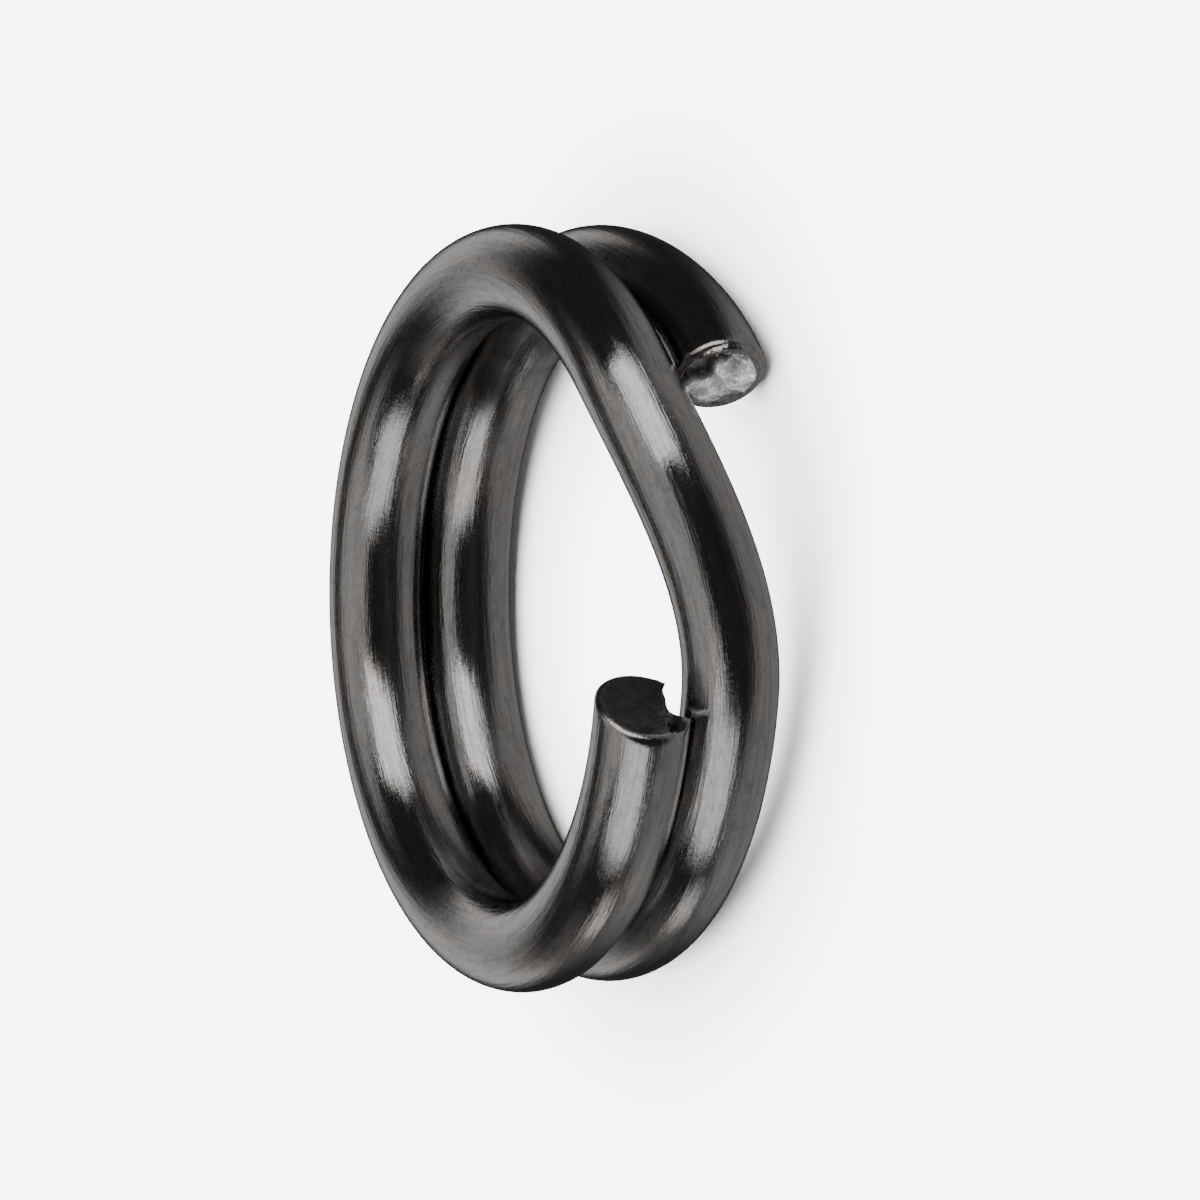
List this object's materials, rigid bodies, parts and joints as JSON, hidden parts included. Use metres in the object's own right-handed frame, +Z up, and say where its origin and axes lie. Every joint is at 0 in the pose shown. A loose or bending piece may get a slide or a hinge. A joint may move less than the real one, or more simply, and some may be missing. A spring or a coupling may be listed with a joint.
{
  "type": "split key ring",
  "caption": "Small round-wire split ring: a sprung wire wound into nearly two turns, pried open at either end to thread on a key.",
  "frame": {"origin": "on the ring's axis, at the flat surface the ring lies on", "axes": "+Z up, along the ring's axis, out of the front turn's face; +X towards the gap between the two free ends"},
  "size_m": [0.012, 0.0121, 0.0035],
  "materials": {
    "wire": "black-nickel plated drawn wire, dark and glossy"
  },
  "bodies": {
    "front_free_end": {"front_free_end": "wire"},
    "front_lower_arc": {"front_lower_arc": "wire"},
    "front_upper_arc": {"front_upper_arc": "wire"},
    "crossover": {"crossover": "wire"},
    "rear_lower_arc": {"rear_lower_arc": "wire"},
    "rear_upper_arc": {"rear_upper_arc": "wire"},
    "rear_free_end": {"rear_free_end": "wire"}
  },
  "joints": [
    {"name": "front_end_twist", "type": "hinge", "parent": "front_lower_arc", "child": "front_free_end", "pos_m": [-0.00167, -0.005, 0.00231], "axis": [0.9475, -0.3182, 0.0307], "range_deg": [0, 3.7], "stiffness_Nm_per_rad": 4.8},
    {"name": "front_open", "type": "hinge", "parent": "front_upper_arc", "child": "front_lower_arc", "pos_m": [-0.005, 0.00169, 0.00236], "axis": [-0.317, -0.9479, -0.0327], "range_deg": [0, 7.4], "stiffness_Nm_per_rad": 4.8},
    {"name": "front_root_twist", "type": "hinge", "parent": "crossover", "child": "front_upper_arc", "pos_m": [0.00168, 0.00502, 0.00257], "axis": [-0.9484, 0.3169, 0.0003], "range_deg": [0, 3.7], "stiffness_Nm_per_rad": 4.8},
    {"name": "rear_root_twist", "type": "hinge", "parent": "rear_lower_arc", "child": "crossover", "pos_m": [0.00334, -0.00393, 0.00107], "axis": [0.7703, 0.6343, 0.0648], "range_deg": [0, 3.7], "stiffness_Nm_per_rad": 4.8},
    {"name": "rear_open", "type": "hinge", "parent": "rear_upper_arc", "child": "rear_lower_arc", "pos_m": [-0.00394, -0.00322, 0.00075], "axis": [0.6357, -0.7719, 0.0032], "range_deg": [0, 7.4], "stiffness_Nm_per_rad": 4.8},
    {"name": "rear_end_twist", "type": "hinge", "parent": "rear_free_end", "child": "rear_upper_arc", "pos_m": [-0.00324, 0.00407, 0.00094], "axis": [-0.7713, -0.6356, -0.0331], "range_deg": [0, 3.7], "stiffness_Nm_per_rad": 4.8}
  ]
}
